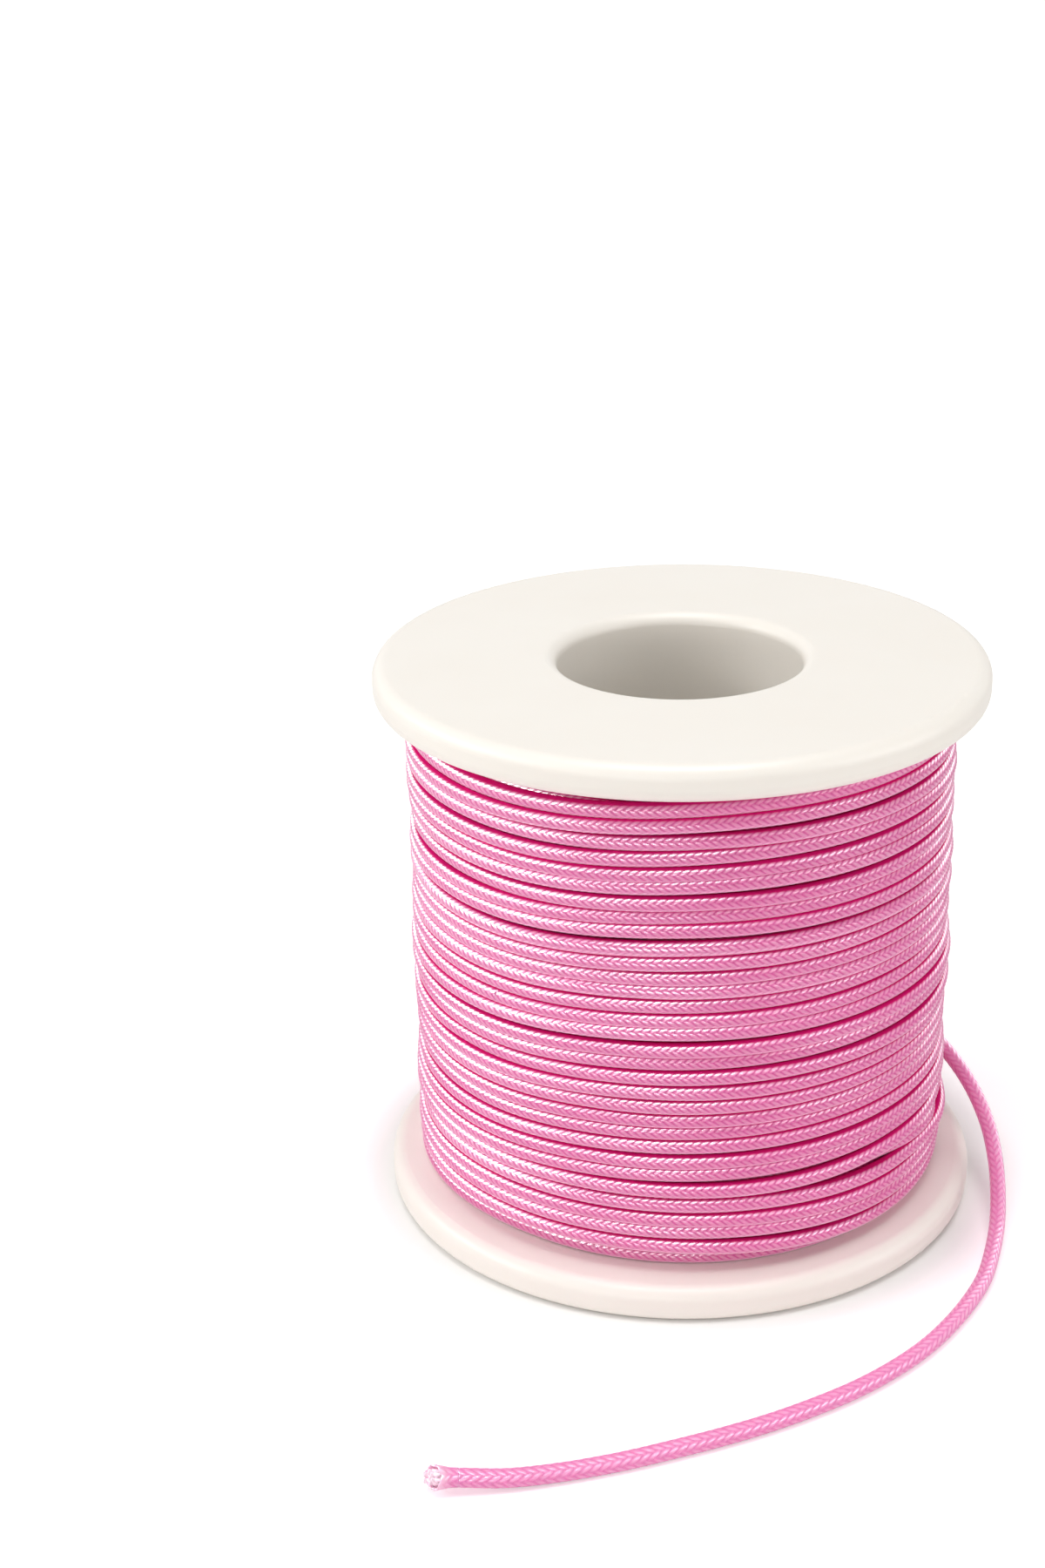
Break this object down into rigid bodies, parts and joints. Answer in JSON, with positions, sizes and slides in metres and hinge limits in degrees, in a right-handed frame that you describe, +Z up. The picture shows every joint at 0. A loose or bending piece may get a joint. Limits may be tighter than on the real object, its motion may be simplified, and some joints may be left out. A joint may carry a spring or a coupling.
{
  "type": "spool of braided cord",
  "caption": "Upright round-rimmed flanged spool with a through bore, fully wound with thin braided cord whose loose end lies curved in front of it.",
  "frame": {"origin": "centre of the lower flange's flat base, on the axis of the bore", "axes": "+Z up along the axis of the bore; -Y towards the side where the loose end lies; +X towards the side where it leaves the winding"},
  "size_m": [0.063, 0.0867, 0.0568],
  "materials": {
    "flange_plastic": "satin, injection moulded, ivory white",
    "tube_plastic": "extruded, matt, off-white",
    "tape_film": "adhesive film, pale straw",
    "braided_cord": "round braid of shiny synthetic filament, pink",
    "cut_fibre": "cut braid end with pale core filaments"
  },
  "bodies": {
    "root": {"upper_flange": "flange_plastic", "lower_flange": "flange_plastic", "core_tube": "tube_plastic", "starter_tape": "tape_film", "cord_layer_1": "braided_cord", "cord_layer_2": "braided_cord", "cord_layer_3": "braided_cord", "cord_layer_4": "braided_cord", "cord_layer_5": "braided_cord", "cord_layer_6": "braided_cord", "cord_layer_7": "braided_cord", "cord_layer_8": "braided_cord", "cord_layer_9": "braided_cord", "loose_end": "braided_cord", "cut_tip": "cut_fibre"}
  },
  "joints": []
}
